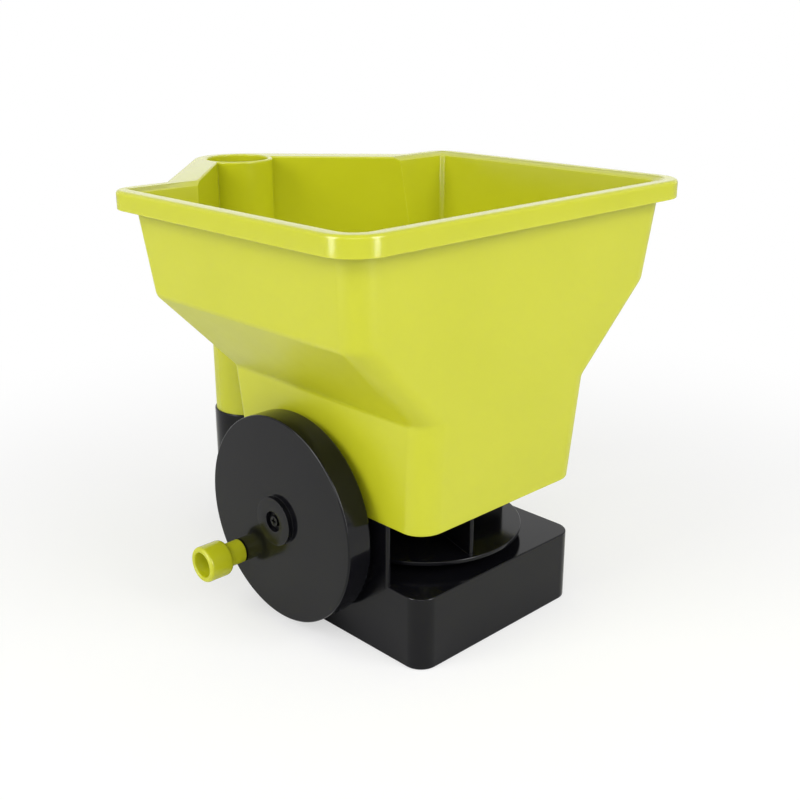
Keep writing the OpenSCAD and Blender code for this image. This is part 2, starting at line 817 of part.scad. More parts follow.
module agitator() color(lime) difference() {
    union() {
        rod_z(agitator_low, shaft_top, agitator_r);
        for (i = [0, 1])
            rotate(vane_turn + 180 * i) translate([0, 0, agitator_low + finger_r + 1])
                rotate([0, 90 - finger_tilt, 0]) cylinder(r = finger_r, h = agitator_reach);
    }
    rod_z(agitator_low - past, shaft_top + past, fixed_bore_r);
    cross_hole(agitator_pin_z);
}

module agitator_pin() color(steel) cross_pin(agitator_pin_z, agitator_r - 0.3);

// Lower gear of the pair, on the spinner's shaft, with a tooth space towards the crank
module driven_bevel() color(nylon) difference() {
    union() {
        translate([0, 0, lay_z - bevel_r]) rotate(180 + 180 / bevel_teeth) bevel_teeth_cone();
        rod_z(lower_bush_top + pass_gap, lay_z - bevel_r, bevel_hub_r);
    }
    rod_z(lower_bush_top - past, lay_z, fixed_bore_r);
}

// Upper gear of the pair, on the layshaft, with a tooth pointing down
module drive_bevel() color(nylon) difference() {
    union() {
        translate([-bevel_r, 0, lay_z]) along_x() rotate(-90) bevel_teeth_cone();
        rod_x(web_in + flange_t + pass_gap, -bevel_r, bevel_hub_r, 0, lay_z);
    }
    rod_x(web_in, 0, fixed_bore_r, 0, lay_z);
}

module layshaft() color(steel) rod_x(pinion_front, lay_in, shaft_r, 0, lay_z);

module pinion() color(nylon) difference() {
    union() {
        translate([pinion_front, 0, lay_z]) along_x() linear_extrude(wheel_back - past - pinion_front)
            rotate(mesh_turn)
                gear_outline(pinion_teeth, gear_module, tooth_add, tooth_ded, backlash, 4);
        rod_x(wheel_back - past, pinion_back, shaft_r + 1.8, 0, lay_z);
    }
    rod_x(pinion_front - past, pinion_back + past, fixed_bore_r, 0, lay_z);
}

// Drum with its face to -X, a ring of teeth inside and a raised boss round the axle
module crank_wheel() color(black) {
    face_r = wheel_d / 2 - wheel_round;
    translate([wheel_front, wheel_y, wheel_z]) along_x() difference() {
        union() {
            rotate_extrude() polygon(concat(
                [[0, wheel_t], [0, 0]],
                [for (i = [0 : edge_steps]) let (a = -90 + 90 * i / edge_steps)
                    [face_r + wheel_round * cos(a), wheel_round + wheel_round * sin(a)]],
                [[wheel_d / 2, wheel_t]]
            ));
            translate([0, 0, -boss_h]) cylinder(r = boss_d / 2, h = boss_h + past);
        }
        difference() {
            translate([0, 0, wheel_wall]) linear_extrude(wheel_t) rotate(mesh_turn)
                gear_outline(ring_teeth, gear_module, tooth_ded, tooth_add, -backlash, 3);
            cylinder(r = hub_tube_r, h = far);
        }
        translate([0, 0, -boss_h - past]) cylinder(r = recess_d / 2, h = recess_floor - boss_front + past);
        translate([0, 0, -boss_h]) cylinder(r = hub_bore_r, h = far);
        rotate(knob_turn) translate([knob_reach, 0, -past])
            cylinder(r = knob_pin_r + seat_fit, h = wheel_wall + 2 * past);
    }
}

module wheel_axle() color(steel) difference() {
    union() {
        rod_x(-base_half, -base_half + shank_len, shank_r, wheel_y, wheel_z);
        rod_x(-base_half - collar_t, -base_half, collar_r, wheel_y, wheel_z);
        rod_x(axle_end, -base_half, axle_r, wheel_y, wheel_z);
    }
    rod_x(axle_end - past, axle_end + 4 * screw_d, pilot_r, wheel_y, wheel_z);
}

module axle_washer() color(steel) difference() {
    rod_x(axle_end - washer_t, axle_end, washer_r, wheel_y, wheel_z);
    rod_x(axle_end - far, axle_end + past, pilot_r, wheel_y, wheel_z);
}

module axle_screw() color(steel)
    translate([axle_end - washer_t, wheel_y, wheel_z]) rotate([0, 90, 0]) screw_up(washer_t + 3.4 * screw_d);

module crank_knob() color(lime) translate([knob_foot, knob_y, knob_z]) rotate([0, -90, 0]) {
    neck_r = knob_neck_d / 2;
    knob_r = knob_d / 2;
    cup_r = knob_cup_d / 2;
    head_end = knob_neck + knob_head;
    rotate_extrude() polygon([
        [knob_bore_r, 0], [neck_r, 0], [neck_r, knob_neck], [knob_r - knob_shoulder, knob_neck],
        [knob_r, knob_neck + knob_shoulder], [knob_r, head_end - knob_edge], [knob_r - knob_edge, head_end],
        [cup_r + cup_edge, head_end], [cup_r, head_end - cup_edge], [cup_r - cup_draft, head_end - knob_cup],
        [knob_bore_r, head_end - knob_cup]
    ]);
}

module knob_screw() color(steel) translate([knob_seat - pass_gap / 2, knob_y, knob_z]) rotate([0, 90, 0])
    screw_up(face_back + nut_t - knob_seat + pass_gap / 2, knob_pin_r);

module knob_nut() color(steel) difference() {
    translate([face_back, knob_y, knob_z]) rotate([0, 90, 0]) cylinder(r = nut_r / cos(30), h = nut_t, $fn = 6);
    rod_x(face_back - past, face_back + nut_t + past, knob_pin_r + seat_fit, knob_y, knob_z);
}

hopper();
base_housing();
bottom_cover();
cover_screws();
hopper_screws();
grip_screw();
gate_guide();
guide_screws();
flow_gate();
floor_bush();
upper_bush();
lower_bush();
spinner_shaft();
spinner_disc();
disc_pin();
agitator();
agitator_pin();
driven_bevel();
layshaft();
layshaft_bushes();
drive_bevel();
pinion();
crank_wheel();
wheel_axle();
axle_washer();
axle_screw();
crank_knob();
knob_screw();
knob_nut();
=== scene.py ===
import math
import bmesh
import bpy
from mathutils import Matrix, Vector


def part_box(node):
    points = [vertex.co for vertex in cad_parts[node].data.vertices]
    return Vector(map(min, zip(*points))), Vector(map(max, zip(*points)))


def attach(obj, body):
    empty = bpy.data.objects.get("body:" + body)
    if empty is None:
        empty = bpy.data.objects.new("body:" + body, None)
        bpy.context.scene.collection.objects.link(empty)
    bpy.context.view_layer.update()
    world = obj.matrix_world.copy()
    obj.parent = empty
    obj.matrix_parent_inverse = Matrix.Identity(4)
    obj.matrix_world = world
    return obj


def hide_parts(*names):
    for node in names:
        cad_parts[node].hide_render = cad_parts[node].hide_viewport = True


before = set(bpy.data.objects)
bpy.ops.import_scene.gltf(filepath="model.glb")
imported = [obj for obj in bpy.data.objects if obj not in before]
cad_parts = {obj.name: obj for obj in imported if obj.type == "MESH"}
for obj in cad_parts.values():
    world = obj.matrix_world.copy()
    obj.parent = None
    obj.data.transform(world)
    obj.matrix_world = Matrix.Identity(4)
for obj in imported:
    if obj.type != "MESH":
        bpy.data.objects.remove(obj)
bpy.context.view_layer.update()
bpy.context.scene.view_settings.view_transform = "Standard"
print("frame loaded, nodes:", len(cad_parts))

near = 1e-5  # two places closer than this are the same
facing = 0.99  # a face whose normal has this much of an axis looks along it
past = 0.01  # how far a cutting tool reaches past a face
pastThin = 0.001  # the same, where another wall is near


def clearSelection():
    if bpy.context.object and bpy.context.object.mode == "EDIT":
        bpy.ops.object.mode_set(mode="OBJECT")
    bpy.ops.object.select_all(action="DESELECT")


def beginEdit(name):  # names the new primitive, puts its place in its mesh and opens it
    piece = bpy.context.object
    piece.name = name
    piece.data.name = name
    bpy.ops.object.transform_apply(location=True, rotation=True, scale=True)
    bpy.ops.object.mode_set(mode="EDIT")
    return piece


def startPlane(name, left, right, front, rear, height):
    clearSelection()
    bpy.ops.mesh.primitive_plane_add(size=1, location=((left + right) / 2, (front + rear) / 2, height))
    bpy.context.object.scale = (right - left, rear - front, 1)
    return beginEdit(name)


def startRod(name, radius, low, high, x=0, y=0, sides=64):  # upright
    clearSelection()
    bpy.ops.mesh.primitive_cylinder_add(
        vertices=sides, radius=radius, depth=high - low, location=(x, y, (low + high) / 2))
    return beginEdit(name)


def startWheel(name, radius, left, right, y, z, sides=128):  # lying along X
    clearSelection()
    bpy.ops.mesh.primitive_cylinder_add(
        vertices=sides, radius=radius, depth=right - left, location=((left + right) / 2, y, z),
        rotation=(0, math.pi / 2, 0))
    return beginEdit(name)


def pick(piece, kind, test):  # selects verts, edges or faces by their place or normal
    bpy.ops.mesh.select_mode(type=kind)
    bpy.ops.mesh.select_all(action="DESELECT")
    mesh = bmesh.from_edit_mesh(piece.data)
    parts = {"VERT": mesh.verts, "EDGE": mesh.edges, "FACE": mesh.faces}[kind]
    for part in parts:
        if test(part):
            part.select_set(True)
    bmesh.update_edit_mesh(piece.data)


def pickAll():
    bpy.ops.mesh.select_all(action="SELECT")


def middle(edge):
    return (edge.verts[0].co + edge.verts[1].co) / 2


def atHeight(edge, height):
    return all(abs(v.co.z - height) < near for v in edge.verts)


def isLevel(edge):
    return abs(edge.verts[0].co.z - edge.verts[1].co.z) < near


def pull(x=0, y=0, z=0):
    bpy.ops.mesh.extrude_region_move(TRANSFORM_OT_translate={"value": (x, y, z)})


def roundEdges(width, steps):
    bpy.ops.mesh.bevel(offset=width, segments=steps, profile=0.5, affect="EDGES", clamp_overlap=True)


def roundCorners(width, steps):
    bpy.ops.mesh.bevel(offset=width, segments=steps, profile=0.5, affect="VERTICES")


def closeShell():  # one skin, faces outwards
    pickAll()
    bpy.ops.mesh.remove_doubles(threshold=near / 10)
    bpy.ops.mesh.normals_make_consistent(inside=False)


def boxTool(name, left, right, front, rear, low, high):
    piece = startPlane(name, left, right, front, rear, low)
    pull(z=high - low)
    closeShell()
    return piece


def activate(piece):
    clearSelection()
    piece.select_set(True)
    bpy.context.view_layer.objects.active = piece


def reopen(piece):
    activate(piece)
    bpy.ops.object.mode_set(mode="EDIT")


def applyModifier(piece, kind, **settings):
    activate(piece)
    modifier = piece.modifiers.new(kind.lower(), kind)
    for key, value in settings.items():
        setattr(modifier, key, value)
    bpy.ops.object.modifier_apply(modifier=modifier.name)


def combine(piece, tool, operation):  # UNION or DIFFERENCE, and the tool is used up
    applyModifier(piece, "BOOLEAN", operation=operation, object=tool, solver="EXACT")
    bpy.data.objects.remove(tool)


def finishPiece(piece, body, material, replaced=(), sharp=32):
    reopen(piece)
    closeShell()
    bpy.ops.object.mode_set(mode="OBJECT")
    bpy.ops.object.shade_smooth_by_angle(angle=math.radians(sharp))
    applyModifier(piece, "WEIGHTED_NORMAL", keep_sharp=True)
    piece.data.materials.clear()
    piece.data.materials.append(material)
    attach(piece, body)
    if replaced:
        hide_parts(*replaced)
    print("piece", piece.name, "faces", len(piece.data.polygons))


def addNode(tree, kind, place, **inputs):
    node = tree.nodes.new(kind)
    node.location = place
    for key, value in inputs.items():
        node.inputs[key].default_value = value
    return node


def addMath(tree, operation, place, second=None, kind="ShaderNodeMath"):
    node = addNode(tree, kind, place)
    node.operation = operation
    if second is not None:
        node.inputs[1].default_value = second
    return node


def addMix(tree, place, first=None, second=None):  # of two colours
    node = addNode(tree, "ShaderNodeMix", place)
    node.data_type = "RGBA"
    for key, color in (("A", first), ("B", second)):
        if color:
            node.inputs[key].default_value = (*color, 1)
    return node


def mouldGroup():  # moulded plastic: cloudy tone, uneven gloss and a fine skin
    tree = bpy.data.node_groups.new("mouldedSkin", "ShaderNodeTree")
    for name, usual in (("Grain Scale", 900.0), ("Gloss", 0.3), ("Gloss Spread", 0.1)):
        socket = tree.interface.new_socket(name, in_out="INPUT", socket_type="NodeSocketFloat")
        socket.default_value = usual
    for name in ("Tone", "Roughness", "Height"):
        tree.interface.new_socket(name, in_out="OUTPUT", socket_type="NodeSocketFloat")
    links = tree.links
    start = addNode(tree, "NodeGroupInput", (-700, 0))
    end = addNode(tree, "NodeGroupOutput", (500, 0))
    place = addNode(tree, "ShaderNodeTexCoord", (-700, -250))
    cloud = addNode(tree, "ShaderNodeTexNoise", (-450, 200), Scale=22.0, Detail=3.0, Roughness=0.55)
    smear = addNode(tree, "ShaderNodeTexNoise", (-450, -60), Scale=120.0, Detail=4.0, Roughness=0.6)
    grain = addNode(tree, "ShaderNodeTexNoise", (-450, -320), Detail=2.0, Roughness=0.5)
    spread = addMath(tree, "SUBTRACT", (-200, -60), 0.5)
    gloss = addMath(tree, "MULTIPLY_ADD", (50, -60))
    for noise in (cloud, smear, grain):
        links.new(place.outputs["Object"], noise.inputs["Vector"])
    links.new(start.outputs["Grain Scale"], grain.inputs["Scale"])
    links.new(smear.outputs["Fac"], spread.inputs[0])
    links.new(spread.outputs[0], gloss.inputs[0])
    links.new(start.outputs["Gloss Spread"], gloss.inputs[1])
    links.new(start.outputs["Gloss"], gloss.inputs[2])
    links.new(cloud.outputs["Fac"], end.inputs["Tone"])
    links.new(gloss.outputs[0], end.inputs["Roughness"])
    links.new(grain.outputs["Fac"], end.inputs["Height"])
    return tree


def edgeWearAndHighlightGroup():  # where edges have been rubbed, and a painted highlight: the mask marks every edge, and a lighter colour is mixed in there
    tree = bpy.data.node_groups.new("rubbedEdgeAndHighlight", "ShaderNodeTree")
    socket = tree.interface.new_socket("Width", in_out="INPUT", socket_type="NodeSocketFloat")
    socket.default_value = 0.0008
    tree.interface.new_socket("Mask", in_out="OUTPUT", socket_type="NodeSocketFloat")
    links = tree.links
    start = addNode(tree, "NodeGroupInput", (-700, 0))
    end = addNode(tree, "NodeGroupOutput", (500, 0))
    soft = addNode(tree, "ShaderNodeBevel", (-450, 100))
    soft.samples = 4
    flat = addNode(tree, "ShaderNodeNewGeometry", (-450, -150))
    dot = addMath(tree, "DOT_PRODUCT", (-200, 0), kind="ShaderNodeVectorMath")
    mask = addNode(tree, "ShaderNodeMapRange", (50, 0), **{"From Min": 0.99, "From Max": 0.8})
    links.new(start.outputs["Width"], soft.inputs["Radius"])
    links.new(soft.outputs["Normal"], dot.inputs[0])
    links.new(flat.outputs["Normal"], dot.inputs[1])
    links.new(dot.outputs["Value"], mask.inputs["Value"])
    links.new(mask.outputs["Result"], end.inputs["Mask"])
    return tree


mouldedSkin = mouldGroup()
rubbedEdgeAndHighlight = edgeWearAndHighlightGroup()
grainDeep = 0.0001


def outsideMask(tree, look):  # faces below the lip that look away from the middle
    place = addNode(tree, "ShaderNodeTexCoord", (-1500, -500))
    parts = addNode(tree, "ShaderNodeSeparateXYZ", (-1250, -450))
    below = addMath(tree, "LESS_THAN", (-850, -450), look["mattTop"])
    level = addMath(tree, "MULTIPLY", (-1250, -650), (1, 1, 0), "ShaderNodeVectorMath")
    away = addMath(tree, "DOT_PRODUCT", (-1050, -650), kind="ShaderNodeVectorMath")
    outside = addMath(tree, "GREATER_THAN", (-850, -650), look["mattOut"])
    both = addMath(tree, "MULTIPLY", (-600, -550))
    links = tree.links
    links.new(place.outputs["Object"], parts.inputs["Vector"])
    links.new(parts.outputs["Z"], below.inputs[0])
    links.new(place.outputs["Object"], level.inputs[0])
    links.new(level.outputs["Vector"], away.inputs[0])
    links.new(place.outputs["Normal"], away.inputs[1])
    links.new(away.outputs["Value"], outside.inputs[0])
    links.new(below.outputs[0], both.inputs[0])
    links.new(outside.outputs[0], both.inputs[1])
    return both.outputs[0]


def plasticMaterial(name, look):
    material = bpy.data.materials.new(name)
    material.use_nodes = True
    tree = material.node_tree
    links = tree.links
    shader = tree.nodes["Principled BSDF"]
    shader.inputs["IOR"].default_value = look["ior"]
    skin = addNode(tree, "ShaderNodeGroup", (-900, 0))
    skin.node_tree = mouldedSkin
    skin.inputs["Grain Scale"].default_value = look["grainScale"]
    skin.inputs["Gloss"].default_value = look["gloss"]
    skin.inputs["Gloss Spread"].default_value = look["glossSpread"]
    edge = addNode(tree, "ShaderNodeGroup", (-900, -300))
    edge.node_tree = rubbedEdgeAndHighlight
    edge.inputs["Width"].default_value = look["edgeWidth"]
    tone = addMix(tree, (-600, 200), look["deep"], look["light"])
    # along every edge the look's edge colour is mixed in, as rubbed wear and a painted highlight; the edges
    # are not rounded in the shading
    wearAndHighlight = addMath(tree, "MULTIPLY", (-600, -300), look["edgeWearAndHighlightAmount"])
    rubAndHighlight = addMix(tree, (-350, 100), second=look["edge"])
    bump = addNode(tree, "ShaderNodeBump", (-350, -300), Strength=look["bump"], Distance=grainDeep)
    links.new(skin.outputs["Tone"], tone.inputs["Factor"])
    links.new(edge.outputs["Mask"], wearAndHighlight.inputs[0])
    links.new(wearAndHighlight.outputs[0], rubAndHighlight.inputs["Factor"])
    links.new(tone.outputs["Result"], rubAndHighlight.inputs["A"])
    links.new(rubAndHighlight.outputs["Result"], shader.inputs["Base Color"])
    links.new(skin.outputs["Height"], bump.inputs["Height"])
    links.new(bump.outputs["Normal"], shader.inputs["Normal"])
    rough = skin.outputs["Roughness"]
    if "matt" in look:  # the mould is spark-eroded outside, and polished at the lip and inside
        added = addMath(tree, "MULTIPLY_ADD", (-350, -500), look["matt"])
        links.new(outsideMask(tree, look), added.inputs[0])
        links.new(rough, added.inputs[2])
        rough = added.outputs[0]
    links.new(rough, shader.inputs["Roughness"])
    if "glow" in look:  # thin walls let a little light through
        shader.inputs["Subsurface Weight"].default_value = look["glow"]
        shader.inputs["Subsurface Radius"].default_value = look["glowRadius"]
        shader.inputs["Subsurface Scale"].default_value = look["glowDepth"]
    return material


def steelMaterial(name, deep, light):
    material = bpy.data.materials.new(name)
    material.use_nodes = True
    tree = material.node_tree
    links = tree.links
    shader = tree.nodes["Principled BSDF"]
    shader.inputs["Metallic"].default_value = 1.0
    place = addNode(tree, "ShaderNodeTexCoord", (-900, 0))
    brush = addNode(tree, "ShaderNodeTexNoise", (-650, 150), Scale=600.0, Detail=4.0)
    cloud = addNode(tree, "ShaderNodeTexNoise", (-650, -150), Scale=60.0, Detail=3.0)
    tone = addNode(tree, "ShaderNodeValToRGB", (-400, 150))
    tone.color_ramp.elements[0].color = (*deep, 1)
    tone.color_ramp.elements[1].color = (*light, 1)
    gloss = addNode(tree, "ShaderNodeMapRange", (-400, -150), **{"To Min": 0.22, "To Max": 0.42})
    links.new(place.outputs["Object"], brush.inputs["Vector"])
    links.new(place.outputs["Object"], cloud.inputs["Vector"])
    links.new(brush.outputs["Fac"], tone.inputs["Fac"])
    links.new(cloud.outputs["Fac"], gloss.inputs["Value"])
    links.new(tone.outputs["Color"], shader.inputs["Base Color"])
    links.new(gloss.outputs["Result"], shader.inputs["Roughness"])
    return material


# each look's edge colour is lighter than its body: rubbed wear and a painted highlight along the edges
limeLook = {
    "deep": (0.50, 0.517, 0.011), "light": (0.55, 0.563, 0.017),
    "edge": (0.68, 0.69, 0.16), "edgeWearAndHighlightAmount": 0.35, "edgeWidth": 0.0008,
    "grainScale": 1700.0, "bump": 0.09, "gloss": 0.2, "glossSpread": 0.08, "ior": 1.5,
    "glow": 0.35, "glowRadius": (1.0, 1.0, 0.25), "glowDepth": 0.004,
    "matt": 0.17, "mattTop": 0.1915, "mattOut": 0.03,
}
blackLook = {
    "deep": (0.003, 0.003, 0.0042), "light": (0.005, 0.005, 0.0065),
    "edge": (0.08, 0.08, 0.083), "edgeWearAndHighlightAmount": 0.4, "edgeWidth": 0.0005,
    "grainScale": 2200.0, "bump": 0.02, "gloss": 0.13, "glossSpread": 0.07, "ior": 1.3,
}
nylonLook = {
    "deep": (0.62, 0.60, 0.53), "light": (0.72, 0.70, 0.63),
    "edge": (0.80, 0.79, 0.74), "edgeWearAndHighlightAmount": 0.4, "edgeWidth": 0.0003,
    "grainScale": 3000.0, "bump": 0.08, "gloss": 0.42, "glossSpread": 0.12, "ior": 1.52,
}
limePlastic = plasticMaterial("limePlastic", limeLook)
blackPlastic = plasticMaterial("blackPlastic", blackLook)
nylonPlastic = plasticMaterial("nylonPlastic", nylonLook)
brushedSteel = steelMaterial("brushedSteel", (0.42, 0.42, 0.43), (0.66, 0.66, 0.67))
blackSteel = steelMaterial("blackSteel", (0.02, 0.02, 0.022), (0.045, 0.045, 0.048))
print("materials made")


# Hopper: walls with a soft fold, rim folded down into a lip, nose at the rear and the grip tube in it
hopperLow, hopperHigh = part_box("hopper")
hopper = {
    "wall": 0.0024, "neckHalf": 0.0522, "neckFront": 0.0498, "neckRear": 0.0703, "neckLow": 0.0638,
    "neckEdge": 0.0005, "floorLow": 0.0718, "skirtFront": 0.007, "skirtRear": 0.002,
    "foldLow": 0.1142, "foldLowHalf": 0.0543, "foldHigh": 0.1535, "foldHighHalf": 0.0922, "foldSoft": 0.0016,
    "frontCorner": 0.011, "rearCorner": 0.0048, "cornerTurn": 0.5,  # least change of normal at a corner
    "overhang": 0.0068, "lip": 0.0084, "lipEdge": 0.0005, "rimRear": 0.091, "rimRound": 0.0016,
    "rimFrontCorner": 0.0165, "rimRearCorner": 0.011, "slopeWide": 0.0032, "slopeHigh": 0.0018,
    "noseAngle": math.radians(42.5), "noseReach": 0.0227, "noseEase": 1.02, "noseStrip": 0.0143,
    "noseStart": 0.0725, "noseLow": 0.14, "noseDeep": 0.02, "noseSlope": math.radians(24),
    "mouthEdge": 0.0008, "mouthSteps": 4,
    "gripY": 0.1382, "gripRadius": 0.0181, "gripWall": 0.0024, "gripLow": 0.0643,
    "outletHalf": 0.013, "outletFront": 0.0095, "outletRear": 0.0265, "outletCorner": 0.002,
    "outletTall": 0.02, "shaftHole": 0.0046, "gateThick": 0.002, "gateRoom": 0.0003,
    "screwHead": 0.0028, "bossRadius": 0.0032, "bossHigh": 0.004, "bossEdge": 0.0005,
}
rimTop = hopperHigh[2]
rimHalf = hopperHigh[0]
rimFront = -hopperLow[1]


def sideAt(height, low, high):  # front and rear walls lean evenly from the neck to the rim
    return low + (high - low) * (height - hopper["neckLow"]) / (rimTop - hopper["neckLow"])


def hopperSection(height, half, inset=0):
    front = sideAt(height, hopper["neckFront"], rimFront - hopper["overhang"]) - inset
    rear = sideAt(height, hopper["neckRear"], hopper["rimRear"] - hopper["overhang"]) - inset
    return height, half, front, rear


def insideCorners(corners, wall):  # the side's corners, moved in square to both faces
    normals = []
    for low, high in zip(corners, corners[1:]):
        run = (high - low).normalized()
        normals.append(Vector((-run.y, run.x)))
    moved = [corners[0] + normals[0] * wall]
    for corner, below, above in zip(corners[1:-1], normals, normals[1:]):
        moved.append(corner + (below + above) * wall / (1 + below.dot(above)))
    moved.append(corners[-1] + normals[-1] * wall)
    return moved


def funnel(name, sections, bends, frontCorner, rearCorner):  # pulled up from the neck, section by section
    height, half, front, rear = sections[0]
    piece = startPlane(name, -half, half, -front, rear, height)
    for below, above in zip(sections, sections[1:]):
        shift = (above[3] - above[2] - below[3] + below[2]) / 2
        pull(y=shift, z=above[0] - below[0])
        bpy.ops.transform.resize(
            value=(above[1] / below[1], (above[2] + above[3]) / (below[2] + below[3]), 1),
            center_override=(0, (above[3] - above[2]) / 2, above[0]))
    for bend in bends:
        pick(piece, "EDGE", lambda e: atHeight(e, bend))
        roundEdges(hopper["foldSoft"], steps=4)
    pick(piece, "EDGE", lambda e: not isLevel(e) and middle(e).y < 0)
    roundEdges(frontCorner, steps=8)
    pick(piece, "EDGE", lambda e: not isLevel(e) and middle(e).y > 0 and len(e.link_faces) == 2
         and abs(e.link_faces[0].normal.y - e.link_faces[1].normal.y) > hopper["cornerTurn"])
    roundEdges(rearCorner, steps=5)
    closeShell()
    return piece


def noseX(reach, y):  # half width of the nose at a depth
    turn = hopper["noseAngle"]
    return (reach + math.sin(turn) * (hopper["gripY"] - y)) / math.cos(turn)


def rimSolid():
    rear = hopper["rimRear"]
    root = noseX(hopper["noseReach"], rear)
    apex = hopper["gripY"] + hopper["noseReach"] / math.sin(hopper["noseAngle"])
    piece = startPlane("rim", -rimHalf, rimHalf, -rimFront, rear, rimTop - hopper["lip"])
    for x in (-root, root):
        pickAll()
        bpy.ops.mesh.bisect(plane_co=(x, 0, 0), plane_no=(1, 0, 0))
    pick(piece, "EDGE", lambda e: abs(middle(e).y - rear) < near and abs(middle(e).x) < near)
    bpy.ops.mesh.extrude_edges_move(TRANSFORM_OT_translate={"value": (0, apex - rear, 0)})
    bpy.ops.mesh.merge(type="CENTER")
    pickAll()
    bpy.ops.mesh.dissolve_faces()
    pick(piece, "VERT", lambda v: v.co.y < 0 and abs(v.co.x) < rimHalf - near)
    bpy.ops.mesh.dissolve_verts()
    pick(piece, "VERT", lambda v: v.co.y < 0)
    roundCorners(hopper["rimFrontCorner"], steps=9)
    pick(piece, "VERT", lambda v: abs(abs(v.co.x) - rimHalf) < near and abs(v.co.y - rear) < near)
    roundCorners(hopper["rimRearCorner"], steps=7)
    pick(piece, "VERT", lambda v: v.co.y > apex - near)
    roundCorners(hopper["noseEase"] * hopper["noseReach"] / math.tan(hopper["noseAngle"]), steps=18)
    pickAll()
    pull(z=hopper["lip"])
    closeShell()
    pick(piece, "EDGE", lambda e: atHeight(e, rimTop))
    roundEdges(hopper["rimRound"], steps=6)
    pick(piece, "EDGE", lambda e: atHeight(e, rimTop - hopper["lip"]))
    roundEdges(hopper["lipEdge"], steps=2)
    pick(piece, "FACE", lambda f: f.normal.z < -facing)
    bpy.ops.mesh.inset(thickness=hopper["wall"] - 2 * hopper["lipEdge"])
    pull(z=hopper["lip"] - hopper["wall"])
    closeShell()
    return piece


def mouthSteps():  # rise and growth of each step of a rounded mouth
    edge = hopper["mouthEdge"]
    turns = [math.pi / 2 * step / hopper["mouthSteps"] for step in range(hopper["mouthSteps"] + 1)]
    for low, high in zip(turns, turns[1:]):
        yield edge * (math.sin(high) - math.sin(low)), edge * (math.cos(low) - math.cos(high))


def noseSolid(name, reach, lift, top, soft=False):
    front = hopper["noseStart"]
    rear = hopper["gripY"]
    low = hopper["noseLow"] - hopper["noseDeep"]
    piece = startPlane(name, -noseX(reach, front), noseX(reach, front), front, rear, low)
    pick(piece, "EDGE", lambda e: abs(middle(e).y - rear) < near)
    narrower = noseX(reach, rear) / noseX(reach, front)
    bpy.ops.transform.resize(value=(narrower, 1, 1), center_override=(0, rear, low))
    pickAll()
    if soft:
        height = rimTop - hopper["mouthEdge"]
        pull(z=height - low)
        for rise, growth in mouthSteps():
            pull(z=rise)
            height += rise
            for side in (-1, 1):
                pick(piece, "VERT", lambda v: abs(v.co.z - height) < near and v.co.x * side > 0)
                bpy.ops.transform.translate(value=(side * growth / math.cos(hopper["noseAngle"]), 0, 0))
            pick(piece, "FACE", lambda f: abs(f.calc_center_median().z - height) < near)
        pull(z=top - height)
    else:
        pull(z=top - low)
    pickAll()
    turn = hopper["noseSlope"]
    wallRear = hopperSection(hopper["noseLow"], 0)[3]
    bpy.ops.mesh.bisect(
        plane_co=(0, wallRear, hopper["noseLow"] + lift / math.cos(turn)),
        plane_no=(0, -math.sin(turn), math.cos(turn)), clear_inner=True, use_fill=True)
    closeShell()
    return piece


wall = hopper["wall"]
floorTop = hopper["floorLow"] + wall
openTop = rimTop + hopper["slopeHigh"]


def hopperBody():  # walls, rim and nose, with the inside taken out
    sideCorners = [
        Vector((hopper["neckHalf"], hopper["neckLow"])), Vector((hopper["foldLowHalf"], hopper["foldLow"])),
        Vector((hopper["foldHighHalf"], hopper["foldHigh"])), Vector((rimHalf - hopper["overhang"], rimTop)),
    ]
    innerCorners = insideCorners(sideCorners, wall)
    topInside = rimTop - wall / 4
    outerSections = [hopperSection(c.y, c.x) for c in sideCorners[:3]]
    outerSections.append(hopperSection(topInside, sideCorners[3].x))
    piece = funnel(
        "hopperShell", outerSections, (hopper["foldLow"], hopper["foldHigh"]),
        hopper["frontCorner"], hopper["rearCorner"])
    pick(piece, "EDGE", lambda e: atHeight(e, hopper["neckLow"]))
    roundEdges(hopper["neckEdge"], steps=3)
    combine(piece, rimSolid(), "UNION")
    noseInner = hopper["noseReach"] - hopper["noseStrip"]
    combine(piece, noseSolid("nose", noseInner + wall, 0, topInside), "UNION")
    openHalf = innerCorners[3].x
    innerSections = [
        hopperSection(floorTop, innerCorners[0].x, wall),
        hopperSection(innerCorners[1].y, innerCorners[1].x, wall),
        hopperSection(innerCorners[2].y, innerCorners[2].x, wall),
        hopperSection(rimTop - hopper["slopeHigh"], openHalf, wall),
        hopperSection(openTop, openHalf + 2 * hopper["slopeWide"], wall - 2 * hopper["slopeWide"]),
    ]
    inside = funnel(
        "inside", innerSections, (innerCorners[1].y, innerCorners[2].y),
        hopper["frontCorner"] - wall, hopper["rearCorner"] - wall)
    combine(piece, inside, "DIFFERENCE")
    skirtSections = [
        hopperSection(hopper["neckLow"] - wall, innerCorners[0].x, wall),
        hopperSection(hopper["floorLow"], innerCorners[0].x, wall),
    ]
    skirt = funnel("skirt", skirtSections, (), hopper["skirtFront"], hopper["skirtRear"])
    combine(piece, skirt, "DIFFERENCE")
    combine(piece, noseSolid("noseInside", noseInner, wall, openTop, soft=True), "DIFFERENCE")
    return piece


